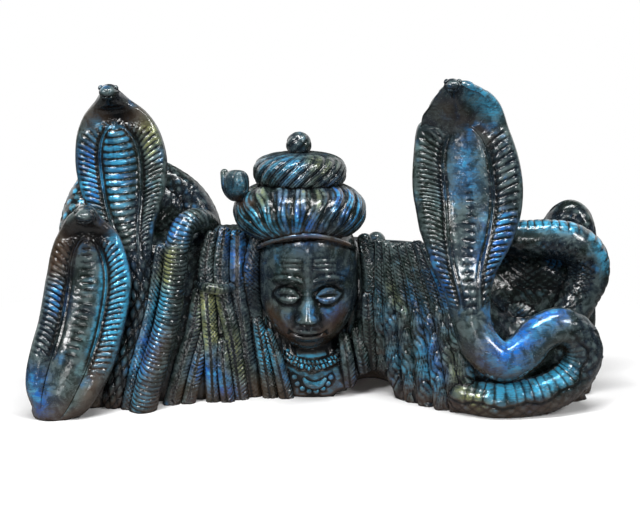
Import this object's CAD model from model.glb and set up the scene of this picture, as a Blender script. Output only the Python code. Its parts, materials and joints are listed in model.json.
"""A carved labradorite head of Shiva between three hooded cobras, cut from one block.

Every form of the carving is swept or swelled here at about the size and place that it has in the
solid, with the cuts of the carver's burr on it, and all of them are joined into one stone.
Lengths are in millimetres until the finished stone is scaled, and those of the studio in metres.
"""
import json
import math

import bpy
import numpy as np
from mathutils import Matrix, Vector

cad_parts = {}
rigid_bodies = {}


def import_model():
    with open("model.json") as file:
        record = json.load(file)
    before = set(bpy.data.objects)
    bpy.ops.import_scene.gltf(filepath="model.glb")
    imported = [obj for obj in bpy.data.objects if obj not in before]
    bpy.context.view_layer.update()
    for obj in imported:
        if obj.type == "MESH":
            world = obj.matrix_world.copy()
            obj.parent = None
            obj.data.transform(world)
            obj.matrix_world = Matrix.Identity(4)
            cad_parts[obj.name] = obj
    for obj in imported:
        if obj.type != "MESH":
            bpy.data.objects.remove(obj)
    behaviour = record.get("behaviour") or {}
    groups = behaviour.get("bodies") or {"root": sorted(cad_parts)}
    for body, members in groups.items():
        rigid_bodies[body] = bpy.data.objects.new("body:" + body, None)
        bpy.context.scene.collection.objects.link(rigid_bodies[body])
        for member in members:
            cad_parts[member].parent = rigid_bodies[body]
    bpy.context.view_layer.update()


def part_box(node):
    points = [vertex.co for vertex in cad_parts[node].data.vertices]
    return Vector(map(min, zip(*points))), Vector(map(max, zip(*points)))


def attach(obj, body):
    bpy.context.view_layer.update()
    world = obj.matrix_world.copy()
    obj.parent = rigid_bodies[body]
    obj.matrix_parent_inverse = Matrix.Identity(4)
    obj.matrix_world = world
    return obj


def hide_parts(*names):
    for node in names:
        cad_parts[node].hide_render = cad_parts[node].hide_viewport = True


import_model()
stone_low, stone_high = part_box("carving")

# The solid's height in the rows below, and the metres to one of their millimetres.
SOLID_HEIGHT = 174.6
MM = (stone_high[2] - stone_low[2]) / SOLID_HEIGHT

FRONT = np.array([0.0, -1.0, 0.0])
LEFTWARD = np.array([-1.0, 0.0, 0.0])

# Studio, in metres: the camera, the floor, and how bright the room is for all but the eye.
CAMERA_PLACE = (0, -0.6358, 0.2111)
CAMERA_AIM = (0, 0, 0.076)
CAMERA_LENS = 66.5
FLOOR_RADIUS = 0.32
FLOOR_SIDES = 96
ROOM_LIGHT = 0.05
# Name, place, height aimed at, width, height and power of each light.
SOFT_BOXES = [
    ("left_box", (-0.7, -0.85, 0.9), 0.07, 0.34, 0.34, 9.5),
    ("right_box", (0.8, -0.6, 0.75), 0.07, 0.12, 0.34, 4.5),
    ("high_box", (0.05, -0.2, 1.3), 0.05, 0.9, 0.16, 14),
    ("low_front_box", (-0.1, -1.5, 0.35), 0.07, 0.3, 0.06, 2),
    ("left_back_box", (-1.2, 1.1, 0.7), 0.07, 1.8, 1.2, 8),
    ("right_back_box", (1.1, 1.2, 0.7), 0.07, 1.8, 1.2, 7),
]

# Distance between rings of points along snakes and locks, and on the plain mass behind them.
FINE_STEP = 0.5
COARSE_STEP = 1.0
CURVE_SAMPLES = 1500
# Rings that round off each end of a sweep, and how far that end reaches as a share of its depth.
END_RINGS = 4
END_REACH = 0.9
# Points across a narrow lobe of a hood, and round its back.
LOBE_POINTS = 16
BACK_POINTS = 20
MOST_TRIANGLES = 196000
SHARP_EDGE = math.radians(48)

# The burr's cuts: depth and pitch.
RIB_DEPTH = 1.15
SCUTE_DEPTH = 0.6
HATCH_DEPTH = 0.65
HATCH_PITCH = 2.2
CORD_RISE = 0.9
CORD_WIDTH = 0.85

# The seams of a hood run at this share of its half width, and close to an arch between two shares of
# the snake's way.
SHIELD_SHARE = 0.44
RIGHT_ARCH = (0.114, 0.182)
FRONT_ARCH = (0.17, 0.36)
REAR_ARCH = (0.195, 0.32)
LOCK_HALF_DEPTH = 3.6
HAIR_FLUTES = 22
CREST_FLUTES = 14
BACK_LOCKS = 9
BEAD_RADIUS = 1.75
CHIN_HEIGHT = 24.5
FACE_THIRD = 20.8
HEAD_CENTRE = (-6.5, 0, 63)
HEAD_HALVES = (27.5, 28.5, 39)
CHEST_CENTRE = (-4, 1, 8)
CHEST_RADII = (33, 18, 26)
# Which of the left locks is polished nearly smooth.
SMOOTH_LOCK = 5
# Balls cut out of the foot in front: centre and radii.
FOOT_NOTCHES = [
    ((29, -6, -6), (15, 26, 19)), ((33, -24, -8.5), (15, 14, 13)), ((17, -16, -10), (13, 16, 15)),
]
GROUND_REACH = 400

# Rows are x, y, z, half width, half depth, from the snout or the root to the end.
RIGHT_COBRA = [
    (70, -23, 168.3, 9.6, 5), (71.3, -19, 163.5, 15.2, 6.5), (74, -15, 154, 21.8, 7.5),
    (75, -14, 142, 25.4, 8.5), (77, -17, 125, 28.5, 9), (78, -21, 110, 28.5, 9),
    (77, -27, 94, 25, 9), (76, -32, 79, 18.5, 9.5), (77, -36, 65, 12.5, 10),
    (79, -40, 49, 10, 10), (84, -43, 37.5, 10.2, 10), (95, -45, 29.5, 10.2, 10),
    (106, -43, 34, 10.2, 10), (114, -40, 42, 10.2, 10), (125, -37, 46, 10.2, 10),
    (135, -35, 41, 10.2, 10), (139, -34, 30, 10.3, 10), (134, -35, 19, 10.4, 10),
    (123, -39, 12, 10.4, 10), (108, -42, 8.3, 10.2, 10), (92, -43, 7.3, 10, 10),
    (76, -37, 7.8, 9, 9),
]
RIGHT_THROAT = [
    (66.8, -33, 171, 4.6, 4.4), (67.8, -27.5, 166, 10, 5.9), (69.8, -20.8, 159, 17, 6.4),
    (72.5, -14, 147, 20, 5),
]
LEFT_FRONT_COBRA = [
    (-121, -32, 105, 6, 5), (-122, -28, 99, 12, 6.5), (-122, -25, 91, 17, 7.5),
    (-122, -25, 80, 20.5, 8), (-122, -27, 68, 22.5, 8.5), (-123.5, -31, 56, 22.6, 9),
    (-126, -36, 43, 22.2, 9), (-129.5, -41, 31, 21.8, 9.5), (-133.5, -44, 20, 20.3, 10),
    (-137, -46, 10, 17, 10), (-140, -46, 2, 11, 9),
]
LEFT_REAR_COBRA = [
    (-111, -6, 165, 5, 4.5), (-111, -2, 161, 9, 6), (-110.5, 1, 154, 16.6, 7),
    (-109.5, 3, 144, 22, 8), (-108, 3, 131, 24.6, 8.5), (-107, 1.5, 119, 24.2, 8.5),
    (-106, -2, 106, 21.3, 8.5), (-104, -6, 93, 16, 8.5), (-100, -12, 79, 10, 8.5),
    (-98, -16, 66, 6.8, 7), (-97, -19, 54, 6, 6.5), (-100, -23, 38, 6, 6.5),
    (-106, -28, 20, 6.5, 6.5), (-111, -30, 3, 6.5, 6.5),
]
LEFT_LOOP = [
    (-60, 16, 70, 6.4, 6.4), (-60.5, 8, 88, 6.4, 6.4), (-65, -3, 96.5, 6.5, 6.5),
    (-72, -12, 95.5, 6.5, 6.5), (-76, -17, 86, 6.5, 6.5), (-77, -20, 74, 6.5, 6.5),
    (-79, -24, 58, 6.5, 6.5), (-82, -28, 43, 6.7, 6.7), (-86.5, -31.5, 28, 7, 7),
    (-91, -34, 14, 7.2, 7.2), (-95, -36, -3, 7.4, 7.2),
]
LEFT_REAR_ARCH = [
    (-112, 27, 116, 10, 10), (-98, 28, 117, 10.3, 10.3), (-87, 27, 112, 11, 11),
    (-76, 25, 104, 11.3, 11.3), (-68.5, 22, 93.5, 11, 11), (-65, 20, 80, 10.5, 10.5),
    (-64, 18, 62, 10, 10),
]
LEFT_REAR_BODY = [
    (-118, 14, 120, 6, 7), (-123, 9, 116, 8.5, 8.5), (-129, 4, 104, 10, 10),
    (-131, -6, 89, 10.5, 11.5), (-132, -16, 56, 11.5, 13), (-134, -26, 22, 12.5, 14),
    (-135, -30, -4, 12.5, 14),
]
RIGHT_COIL = [
    (97, -2, 87, 9.5, 9.5), (112, -5, 86.4, 10.3, 10), (124, -5.5, 86.6, 10.7, 10.5),
    (136, -5, 84.5, 11, 11), (145, -4, 77, 11.5, 11), (147, -3, 66, 11.5, 11),
    (142.5, -4, 55, 11, 11), (136, -7, 44, 10.5, 10.5), (128, -9, 33, 10, 10),
]
RIGHT_REAR_ARCH = [
    (128, 27, 62, 8.6, 8.6), (131.5, 27, 79, 8.6, 8.6), (137.5, 27.5, 91, 8.6, 8.6),
    (143.5, 27, 94, 8.6, 8.6), (147.5, 25, 87, 8.6, 8.6), (148.5, 22, 74, 8.6, 8.6),
    (147, 18, 58, 8.6, 8.6),
]
CORE = [
    (-128, -6, 30, 30, 18), (-112, 2, 40, 42, 25), (-90, 10, 42, 46, 28),
    (-66, 17, 43, 46, 28), (-40, 21, 43, 46, 27), (-10, 23, 43, 46, 27),
    (18, 25, 38, 40, 25), (34, 25, 35, 38, 25), (52, 17, 35, 39, 30),
    (76, 12, 35, 40, 32), (100, 16, 35, 40, 28), (122, 15, 33, 40, 26),
    (138, 13, 30, 33, 19),
]
LEFT_APRON = [
    (-126, -14, 4, 58, 21), (-100, -8, 4, 68, 17), (-76, -6, 4, 60, 16),
    (-55, -3, 4, 58, 14), (-25, 0, 4, 50, 13), (-4, 4, 4, 40, 13),
]
RIGHT_APRON = [
    (44, 14, 14, 44, 14), (58, -5, 5, 58, 20), (80, -14, 4, 58, 22),
    (102, -10, 4, 44, 20), (126, -9, 7, 38, 18), (138, -6, 12, 26, 14),
    (143, -5, 13, 18, 9),
]

# Locks of hair: x, y, z and half width.
LEFT_LOCKS = [
    [(-59, -4, 88, 3.8), (-62, -9, 73, 4.4), (-61, -14, 52, 4.6), (-59, -19, 27, 4.4), (-58, -22, -2, 4)],
    [(-52, -3, 90, 4), (-54, -8, 74, 4.5), (-53, -12, 57, 4.5), (-48, -16, 35, 4.5), (-43, -18, -2, 4.5)],
    [(-66, -12, 58, 3.8), (-69, -18, 39, 4.4), (-74, -22, 23, 4.6), (-81, -27, -2, 4.6)],
    [(-63, -16, 36, 3.4), (-67, -21, 19, 4), (-72, -25, -2, 4)],
    [(-53, -17, 31, 3.4), (-52, -21, 15, 4), (-50, -22, -2, 4)],
    [(-45, -2, 88, 5), (-45, -6, 72, 5.2), (-45, -8, 58, 5.2), (-42, -11, 36, 5), (-39, -14, 14, 5.2),
     (-37, -13, -2, 5.4)],
    [(-34, -10, 41, 3.3), (-31, -14, 26, 4.2), (-27, -15, -2, 4.4)],
    [(-28, -12, 35, 2.8), (-23, -16, 20, 3.6), (-18, -16, -2, 4.2)],
    [(13, -10, 32, 3.2), (15, -14, 20, 3.8), (17, -11, 3, 3.8)],
    [(20, -7, 35, 3.2), (23, -10, 22, 3.8), (26, -5, 4, 3.8)],
    [(26, -8, 55, 3.6), (27, -9, 36, 4.4), (29, -4, 12, 4.6)],
]
OUTER_LOCKS = [
    [(-92, -12, 76, 3), (-94, -18, 56, 3.2), (-98, -24, 38, 3.4), (-105, -29, 19, 3.6), (-112, -31, -2, 3.8)],
    [(-86, -12, 82, 3), (-89, -18, 61, 3.2), (-93, -24, 43, 3.4), (-98, -30, 24, 3.8), (-103, -34, -2, 4)],
]
RIGHT_LOCKS = [
    [(32, -3, 83, 3.6), (32, -7, 61, 4.2), (33, -9, 39, 4.6), (37, -3, 5, 5)],
    [(36, -4, 82, 3.6), (38, -10, 59, 4.4), (39.5, -13, 35, 4.6), (43, -12, -2, 4.8)],
    [(40, -5, 81, 3.6), (44, -13, 60, 4.4), (47, -18, 36, 4.6), (51, -22, -2, 4.8)],
    [(45, -6, 81, 3.6), (50, -16, 61, 4.2), (54, -23, 37, 4.6), (58, -29, -2, 4.8)],
    [(49, -7, 82, 3.6), (55, -19, 62, 4.2), (60.5, -27, 39, 4.6), (66, -35, -2, 4.8)],
    [(53, -8, 83, 3.6), (59.5, -22, 63, 4), (67, -32, 38, 4.4), (74, -39, -2, 4.8)],
    [(57, -11, 82, 3.4), (65, -25, 63, 4), (73, -35, 36, 4.4), (82, -41, -2, 4.8)],
]
LOCK_BAND = [(-66, -9, 63, 2.6), (-61, -15.5, 62, 2.8), (-55, -15.5, 61, 2.8), (-49, -10, 61, 2.6)]
TEMPLE_LOCKS = [
    [(-34, -3, 86, 4), (-38, -6, 68, 6), (-37, -7, 48, 5.6), (-32, -8, 30, 5)],
    [(24, -3, 86, 4), (28.5, -6, 68, 6), (28, -7, 48, 5.6), (24, -8, 32, 5)],
]
NECK = [(-5, 2, 44, 15, 15), (-5, 1, 34, 14.5, 14.5), (-4.5, 0, 22, 17, 15)]
CRESCENT = [
    (-43, -14, 122.5, 3, 3), (-43, -13.5, 117, 5, 4), (-45.5, -8.5, 113, 5.2, 4.2),
    (-49.5, -3.5, 114.5, 4.4, 3.6), (-51.6, -3, 122.6, 2.2, 2.2),
]
CRESCENT_STEM = [(-47, -8.5, 112.4, 3.6, 3.6), (-40, -7, 109.6, 3.8, 3.8), (-32, -5, 106, 4, 4)]


# Curves, sections and closed skins


def unit(vectors):
    return vectors / np.maximum(np.linalg.norm(vectors, axis=-1, keepdims=True), 1e-9)


def blend_in(value, low, high):
    share = np.clip((value - low) / (high - low), 0, 1)
    return share * share * (3 - 2 * share)


def spline(rows, shares):
    """A smooth curve through rows of numbers, read at shares of its way."""
    rows = np.asarray(rows, float)
    place = np.clip(shares, 0, 1) * (len(rows) - 1)
    first = np.minimum(place.astype(int), len(rows) - 2)
    part = (place - first)[:, None]
    more = np.vstack([2 * rows[0] - rows[1], rows, 2 * rows[-1] - rows[-2]])
    before, start, end, after = (more[first + step] for step in range(4))
    leaving = (end - before) / 2
    arriving = (after - start) / 2
    return (
        start
        + leaving * part
        + (3 * (end - start) - 2 * leaving - arriving) * part**2
        + (2 * (start - end) + leaving + arriving) * part**3
    )


class Spot:
    """What a cut needs to know about the points of a form. Arrays go by ring, then by side."""

    def __init__(self, **facts):
        self.__dict__.update(facts)


class Form:
    """One closed form: its points, its faces, and for each point how far it stands out of a groove
    and whether it is hair."""

    def __init__(self, name, points, faces, height, hair):
        self.name = name
        self.points = points
        self.faces = faces
        self.height = height
        self.hair = hair


def closed_skin(name, rings, first_pole, last_pole, height, hair):
    count, sides = rings.shape[:2]
    points = np.vstack([first_pole, rings.reshape(-1, 3), last_pole])
    place = 1 + np.arange(count * sides).reshape(count, sides)
    after = np.roll(place, -1, axis=1)
    walls = np.stack([place[:-1], after[:-1], after[1:], place[1:]], axis=-1).reshape(-1, 4)
    last = len(points) - 1
    start_fan = np.stack([np.zeros(sides, int), after[0], place[0]], axis=-1)
    end_fan = np.stack([np.full(sides, last), place[-1], after[-1]], axis=-1)
    faces = [face.tolist() for face in (walls, start_fan, end_fan)]
    centre = rings.mean(axis=1)[:-1, None]
    corner = rings[:-1] - centre
    beside = np.roll(rings, -1, axis=1)[:-1] - centre
    beyond = rings[1:] - centre
    if np.einsum("ijk,ijk->", np.cross(beside - corner, beyond - corner), corner) < 0:
        faces = [[face[::-1] for face in group] for group in faces]
    level = np.concatenate([[height[0].mean()], height.ravel(), [height[-1].mean()]])
    return Form(name, points, faces[0] + faces[1] + faces[2], level, np.full(len(points), hair))


def oval(sides, fullness=1.0):
    turn = 2 * np.pi * (np.arange(sides) + 0.5) / sides
    across = np.sign(np.cos(turn)) * np.abs(np.cos(turn)) ** fullness
    front = np.sign(np.sin(turn)) * np.abs(np.sin(turn)) ** fullness

    def section(width, depth, share):
        return width * across, depth * front, turn + 0 * width

    return section


def swell_section(sides):
    """A swell with thin edges and a flat back, which melts into what it lies on."""
    turn = 2 * np.pi * (np.arange(sides) + 0.5) / sides
    out = np.where(np.sin(turn) > 0, np.sin(turn) ** 4, 0.2 * np.sin(turn))

    def section(width, depth, share):
        return width * np.cos(turn), depth * out, turn + 0 * width

    return section


def seam_at(share, arch):
    """How far out the seams of a hood run, as a share of its half width. They close to an arch at the
    first of two shares of its way and are fully apart from the second."""
    drop = np.clip((share - arch[0]) / (arch[1] - arch[0]), 0.0004, 1)
    return SHIELD_SHARE * np.sqrt(1 - (1 - drop) ** 2)


def hood(arch):
    """A cobra's hood: a shield between two flanks, a cord on each seam, and one swell behind."""
    edges = [-1, -SHIELD_SHARE, SHIELD_SHARE, 1]
    stops = []
    for left, right in zip(edges[:-1], edges[1:]):
        count = LOBE_POINTS if right - left < 0.8 else int(LOBE_POINTS * 1.2)
        swing = np.cos(np.pi * np.arange(count) / count)
        stops.extend((left + right) / 2 - (right - left) / 2 * swing)
    stops = np.array(stops + [1.0])
    behind = np.cos(np.pi * np.arange(1, BACK_POINTS) / BACK_POINTS)
    reach = np.abs(stops)
    inner = reach < SHIELD_SHARE + 1e-9
    middle = np.where(inner, 0, (1 + SHIELD_SHARE) / 2)
    half = np.where(inner, SHIELD_SHARE, (1 - SHIELD_SHARE) / 2)
    lobe = np.sqrt(np.clip(1 - ((reach - middle) / half) ** 2, 0, 1))
    round_back = np.sqrt(np.clip(1 - behind**2, 0, 1))

    def section(width, depth, share):
        seam = seam_at(share, arch)
        outside = seam + (reach - SHIELD_SHARE) * (1 - seam) / (1 - SHIELD_SHARE)
        place = np.sign(stops) * np.where(inner, reach * seam / SHIELD_SHARE, outside)
        flat = np.sqrt(np.clip(1 - place**8, 0, 1))
        swollen = np.sqrt(np.clip(1 - place**2, 0, 1))
        spread = blend_in(width / depth, 1.1, 2.1)
        carved = blend_in(share, arch[0] - 0.01, arch[0] + 0.05)
        cord = np.exp(-(((np.abs(place) - seam) * width / CORD_WIDTH) ** 2))
        throat = depth * (0.3 * flat + 0.36 * swollen)
        face = depth * (0.34 * flat + 0.42 * lobe) + CORD_RISE * cord
        front = swollen * depth * (1 - spread) + (throat * (1 - carved) + face * carved) * spread
        back = -round_back * depth * (1 - 0.25 * spread)
        across = np.hstack([place, np.broadcast_to(behind, (len(place), len(behind)))]) * width
        forward = np.hstack([front, back])
        return across, forward, np.arctan2(forward / depth, across / width)

    return section


def swept_frame(rows, facing, shares):
    """Places, directions and girths along a sweep."""
    rows = np.array(rows, float)
    nudge = 1e-4
    tangent = unit(spline(rows[:, :3], shares + nudge) - spline(rows[:, :3], shares - nudge))
    across = unit(np.cross(tangent, facing))
    forward = unit(np.cross(across, tangent))
    return spline(rows[:, :3], shares), tangent, across, forward, spline(rows[:, 3:5], shares)


def even_shares(rows, step):
    """Shares of a curve's way that are about a step apart, with the way walked at each."""
    fine = np.linspace(0, 1, CURVE_SAMPLES)
    line = spline(np.array(rows, float)[:, :3], fine)
    walked = np.concatenate([[0], np.cumsum(np.linalg.norm(np.diff(line, axis=0), axis=1))])
    stops = np.linspace(0, walked[-1], max(int(walked[-1] / step), 8) + 1)
    return np.interp(stops, walked, fine), stops


def grid_normals(rings):
    down = np.gradient(rings, axis=0)
    round_about = np.roll(rings, -1, axis=1) - np.roll(rings, 1, axis=1)
    normal = unit(np.cross(down, round_about))
    outward = rings - rings.mean(axis=1, keepdims=True)
    return normal * np.sign(np.einsum("ijk,ijk->", normal, outward))


def sweep(name, rows, section, carve=None, step=None, facing=FRONT, hair=0.0):
    """Sweeps a section along rows, rounds both ends and makes the cuts in it."""
    shares, walked = even_shares(rows, step or FINE_STEP)
    end_turns = np.linspace(0, np.pi / 2, END_RINGS + 2)[1:-1]
    ends = np.zeros(END_RINGS, int)
    order = np.concatenate([ends, np.arange(len(shares)), ends + len(shares) - 1])
    bend = np.concatenate([-end_turns[::-1], np.zeros(len(shares)), end_turns])[:, None]
    shares = shares[order]
    centre, tangent, along_across, forward, girth = swept_frame(rows, facing, shares)
    width, depth = girth[:, :1], girth[:, 1:]
    across_way, front_way, turn = section(width, depth, shares[:, None])
    shrink = np.cos(bend)
    rings = (
        (centre + tangent * END_REACH * depth * np.sin(bend))[:, None]
        + along_across[:, None] * (across_way * shrink)[..., None]
        + forward[:, None] * (front_way * shrink)[..., None]
    )
    height = np.ones(rings.shape[:2])
    if carve:
        spot = Spot(
            along=walked[order][:, None] + END_REACH * depth * np.sin(bend),
            share=shares[:, None],
            side=across_way / width,
            front=front_way / depth,
            turn=turn,
            width=width,
            points=rings,
        )
        rise, height = carve(spot)
        rings = rings + grid_normals(rings) * (rise * shrink)[..., None]
    poles = [centre[end] + tangent[end] * END_REACH * depth[end] * sign for end, sign in ((0, -1), (-1, 1))]
    return closed_skin(name, rings, poles[0], poles[1], np.broadcast_to(height, rings.shape[:2]), hair)


def ball(name, centre, radii, segments, rings, tilt=0.0, swell=None, hair=0.0, fullness=2.0):
    """A ball of meridians round a tilted axis. swell gives the share that a point stands out and
    its height above the grooves, from its turn about the axis and its angle down from the pole. A
    fullness above 2 squares its outline towards a drum."""
    turn = (2 * np.pi * np.arange(segments) / segments)[None]
    fall = (np.pi * np.arange(rings + 1) / rings)[:, None]
    way = np.stack(
        [np.sin(fall) * np.sin(turn), -np.sin(fall) * np.cos(turn), np.cos(fall) + 0 * turn], axis=-1
    )
    lean = np.array([
        [1, 0, 0],
        [0, math.cos(tilt), math.sin(tilt)],
        [0, -math.sin(tilt), math.cos(tilt)],
    ])
    grown, height = swell(turn, fall) if swell else (0 * way[..., 0], 1 + 0 * way[..., 0])
    way = way @ lean
    girdle = np.hypot(way[..., 0], way[..., 1])
    round_about = (girdle**fullness + np.abs(way[..., 2]) ** fullness) ** (-1 / fullness)
    points = way * np.array(radii, float) * (round_about * (1 + grown))[..., None] + np.array(centre, float)
    return closed_skin(name, points[1:-1], points[0, 0], points[-1, 0], height[1:-1], hair)


# Cuts


def ridges(phase, crispness=0.6):
    """Rounded ridges between sharp grooves: 1 on a crest, 0 in a groove, one to a whole phase."""
    return np.abs(np.sin(np.pi * phase)) ** crispness


def cut_hood(arch, starts, ends, pitches, scute_pitch, scute_share=0.9, hollow=0.0, fan=8, knobs=0.0):
    """Ribs that fan out from an arch over the flanks and rise outwards below it, scutes down the
    shield, a hollow under the snout, and knobs on the neck below the ribs. The left and the right
    flank have their own rib pitch."""

    def carve(spot):
        seam = seam_at(spot.share, arch)
        reach = np.abs(spot.side)
        from_seam = (reach - seam) * spot.width
        front = spot.front > 0.02
        flank = np.clip((reach - seam) / (1 - seam), 0, 1)
        pitch = np.where(spot.side < 0, pitches[0], pitches[1])
        climb = 3.0 + fan * np.exp(-np.clip(spot.along - starts, 0, None) / 22)
        ribs = ridges((spot.along + climb * (1 - (1 - flank) ** 1.6)) / pitch, 0.45)
        scutes = ridges((spot.along - 1.2 * (1 - (spot.side / seam) ** 2)) / scute_pitch, 0.45)
        begun = blend_in(spot.along - 9 * flank, starts - 6, starts - 1)
        ended = blend_in(spot.along, ends - 12, ends)
        ribbed = front * begun * (1 - ended)
        on_flank = blend_in(from_seam, 0.8, 1.8) * (1 - blend_in(flank, 0.78, 0.9)) * ribbed
        on_shield = (1 - blend_in(reach / seam, scute_share - 0.16, scute_share)) * front
        on_shield = on_shield * blend_in(spot.along, starts + 1, starts + 4) * (1 - ended)
        outer_line = np.exp(-((from_seam - 1.45) ** 2))
        inner_line = 0.8 * np.exp(-(((from_seam + 1.3) / 0.8) ** 2))
        apart = blend_in(spot.share, arch[0], arch[0] + 0.04)
        lined = (outer_line + inner_line) * front * apart * (1 - ended)
        rim = np.exp(-(((flank - 0.94) / 0.05) ** 2)) * front * blend_in(spot.along, 6, 16)
        pit = np.exp(-(((spot.along - starts + 5) / 6.5) ** 2) - (reach * spot.width / 9) ** 4) * front
        rise = RIB_DEPTH * (ribs - 0.7) * on_flank + SCUTE_DEPTH * (scutes - 0.7) * on_shield
        rise = rise + 0.45 * rim - 0.4 * lined - hollow * pit
        knob = scale_pattern(0.6 * spot.along, 1.3 * spot.side * spot.width, 6.2)
        on_neck = knobs * ended * front
        rise = rise + 0.8 * (knob - 0.7) * on_neck
        lowered = (1 - ribs) * on_flank + (1 - scutes) * on_shield + 0.8 * lined + 0.4 * min(hollow, 1) * pit
        lowered = lowered + (1 - knob) * on_neck
        return rise, np.clip(1 - lowered, 0, 1)

    return carve


def cut_rings(pitch, depth, slant):
    """Slanted rings round a snake's body."""

    def carve(spot):
        uneven = 0.25 * np.sin(spot.along / 3.7) + 0.2 * np.sin(spot.along / 1.9 + 2 * spot.turn)
        rings = ridges((spot.along + uneven + slant * np.cos(spot.turn)) / pitch, 0.4)
        return depth * (rings - 0.7), rings

    return carve


def scale_pattern(along, across, pitch):
    """A net of rounded lozenge scales."""
    one = np.abs(np.sin(np.pi * (along + across) / pitch))
    other = np.abs(np.sin(np.pi * (along - across) / pitch))
    return (one * other) ** 0.45


def cut_scales(pitch, depth):
    def carve(spot):
        girdle = 2 * np.pi * spot.width
        count = np.round(girdle / pitch / 1.3)
        scales = scale_pattern(spot.along * 0.8, spot.turn / (2 * np.pi) * count * pitch, pitch)
        return depth * (scales - 0.6), scales

    return carve


def cut_coil(spot):
    """Narrow segments along the outer edge of the coil, smooth below them and pitted inside."""
    outward = -np.cos(spot.turn)
    outer = blend_in(outward, 0.45, 0.8)
    segments = ridges(spot.along / 3.9, 0.4)
    inner = blend_in(-outward, -0.3, 0.1)
    pits = scale_pattern(spot.along + 2 * np.sin(spot.along / 5), spot.turn * spot.width, 5.3)
    rise = 0.5 * (segments - 0.7) * outer + 0.6 * (pits - 0.7) * inner
    return rise, 1 - 0.75 * (1 - segments) * outer - 0.8 * (1 - pits) * inner


def cut_right_cobra(spot):
    """The right cobra is ribbed down to the neck, smooth in its bend, and scaled on its lower run."""
    rise, height = cut_hood(RIGHT_ARCH, 20, 124, (3.5, 2.5), 4.4, 0.0, 0.5)(spot)
    front = spot.front > 0.02
    column_width = 0.9 + 2.4 * blend_in(spot.along, 46, 74)
    column = (1 - blend_in(np.abs(spot.side) * spot.width, column_width - 0.6, column_width)) * front
    column = column * blend_in(spot.along, 36, 50) * (1 - blend_in(spot.along, 118, 128))
    knuckles = ridges(spot.along / 4.2, 0.5)
    low = blend_in(spot.along, 186, 200)
    belly = blend_in(np.cos(spot.turn), 0.0, 0.15)
    scutes = ridges(spot.along / 4.6, 0.6)
    wavy = np.cos(spot.turn) - 0.12 * np.sin(spot.along / 3.1)
    divider = np.exp(-((wavy / 0.07) ** 2))
    back = 1 - belly
    pits = scale_pattern(spot.along, spot.turn * spot.width, 6.1)
    column_ridge = np.exp(-((spot.side * spot.width / (0.45 * column_width)) ** 2)) * column
    rise = rise + 0.5 * (knuckles - 0.7) * column + (0.25 + 0.55 * knuckles) * column_ridge
    rise = rise + low * (0.3 * (scutes - 0.7) * belly + 0.45 * (pits - 0.7) * back - 0.4 * divider)
    lowered = low * (0.5 * (1 - scutes) * belly + 0.75 * (1 - pits) * back + 0.7 * divider)
    lowered = lowered + 0.8 * (1 - knuckles) * column
    return rise, np.clip(height - lowered, 0, 1)


def cut_lock(pitch, lean, depth=HATCH_DEPTH, parted=True):
    """Hatching across a lock, mirrored about a parting or slanted one way. It comes and goes along the
    lock, which is as wide as its neighbours allow, so a raised cord runs along one of its edges."""

    def carve(spot):
        across = spot.side * spot.width
        phase = spot.points[..., 0] / 4.7
        if parted:
            hatch = ridges((spot.along + (lean + 0.35 * np.sin(phase)) * np.abs(across)) / pitch, 0.5)
            parting = np.exp(-((across / 0.5) ** 2))
        else:
            hatch = ridges((spot.along + lean * across) / pitch, 0.5)
            parting = 0 * across
        waves = np.sin(spot.along / 6.5 + phase) + np.sin(spot.along / 15 - phase)
        clear = 0.5 + 0.5 * blend_in(waves, -0.9, 0.4)
        edge = np.exp(-(((spot.side - 0.62) / 0.13) ** 2))
        front = blend_in(spot.front, 0.05, 0.35)
        rise = front * (depth * (hatch - 0.7) * clear * (1 - edge) - 0.5 * parting + 0.5 * edge)
        lowered = (1 - hatch) * clear * (1 - edge) + 0.8 * parting
        return rise, np.clip(1 - front * lowered, 0, 1)

    return carve


def cut_right_lock(spot):
    """Finely hatched beside a cord above, and combed into soft S-shaped tufts below."""
    across = spot.side * spot.width
    level = spot.points[..., 2]
    phase = spot.points[..., 0] / 3.3
    hatch = ridges((spot.along + 1.0 * across) / 2.2, 0.5)
    bend = across + 1.9 * np.sin(spot.along / 5.4 + phase)
    fibre = ridges(bend / 2.0, 0.6)
    tuft = ridges((spot.along - 0.3 * across**2 + 3.5 * np.sin(phase)) / 11.5, 0.45)
    low = 1 - blend_in(level, 44, 64)
    edge = np.exp(-(((spot.side - 0.43) / 0.1) ** 2)) * (1 - low)
    front = blend_in(spot.front, 0.05, 0.35)
    rise = (1 - low) * 0.6 * (hatch - 0.7) * (1 - edge) + 1.2 * edge
    rise = rise + low * (1.2 * (tuft - 0.7) + 0.55 * (fibre - 0.6))
    height = (1 - low) * np.maximum(hatch, edge) + low * np.clip(0.4 * tuft + 0.7 * fibre, 0, 1)
    return rise * front, 1 - front * (1 - height)


def cut_back_lock(spot):
    across = spot.side * spot.width
    strand = ridges((across + 1.5 * np.sin(spot.along / 17)) / 4.6, 0.7)
    back = blend_in(np.abs(spot.front), 0.0, 0.3)
    return 0.7 * (strand - 0.6) * back, 1 - (1 - strand) * 0.8 * back


def cut_mass(spot):
    """Strands run down the mass wherever it shows between the locks."""
    x, z = spot.points[..., 0], spot.points[..., 2]
    strand = ridges((x + 2.2 * np.sin(z / 13 + x / 31)) / 3.8, 0.7)
    hairy = blend_in(x, -70, -60) * (1 - blend_in(x, 60, 74))
    knots = scale_pattern(z + 3 * np.sin(x / 9), x, 6.5)
    rise = hairy * 0.6 * (strand - 0.6) + (1 - hairy) * 0.35 * (knots - 0.6)
    return rise, 1 - hairy * (1 - strand) * 0.8 - (1 - hairy) * (1 - knots) * 0.8


# Head, hair and ornaments


def mound(side, level, place, height, spread, spread_up):
    return np.exp(-0.5 * (((side - place) / spread) ** 2 + ((level - height) / spread_up) ** 2))


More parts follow.
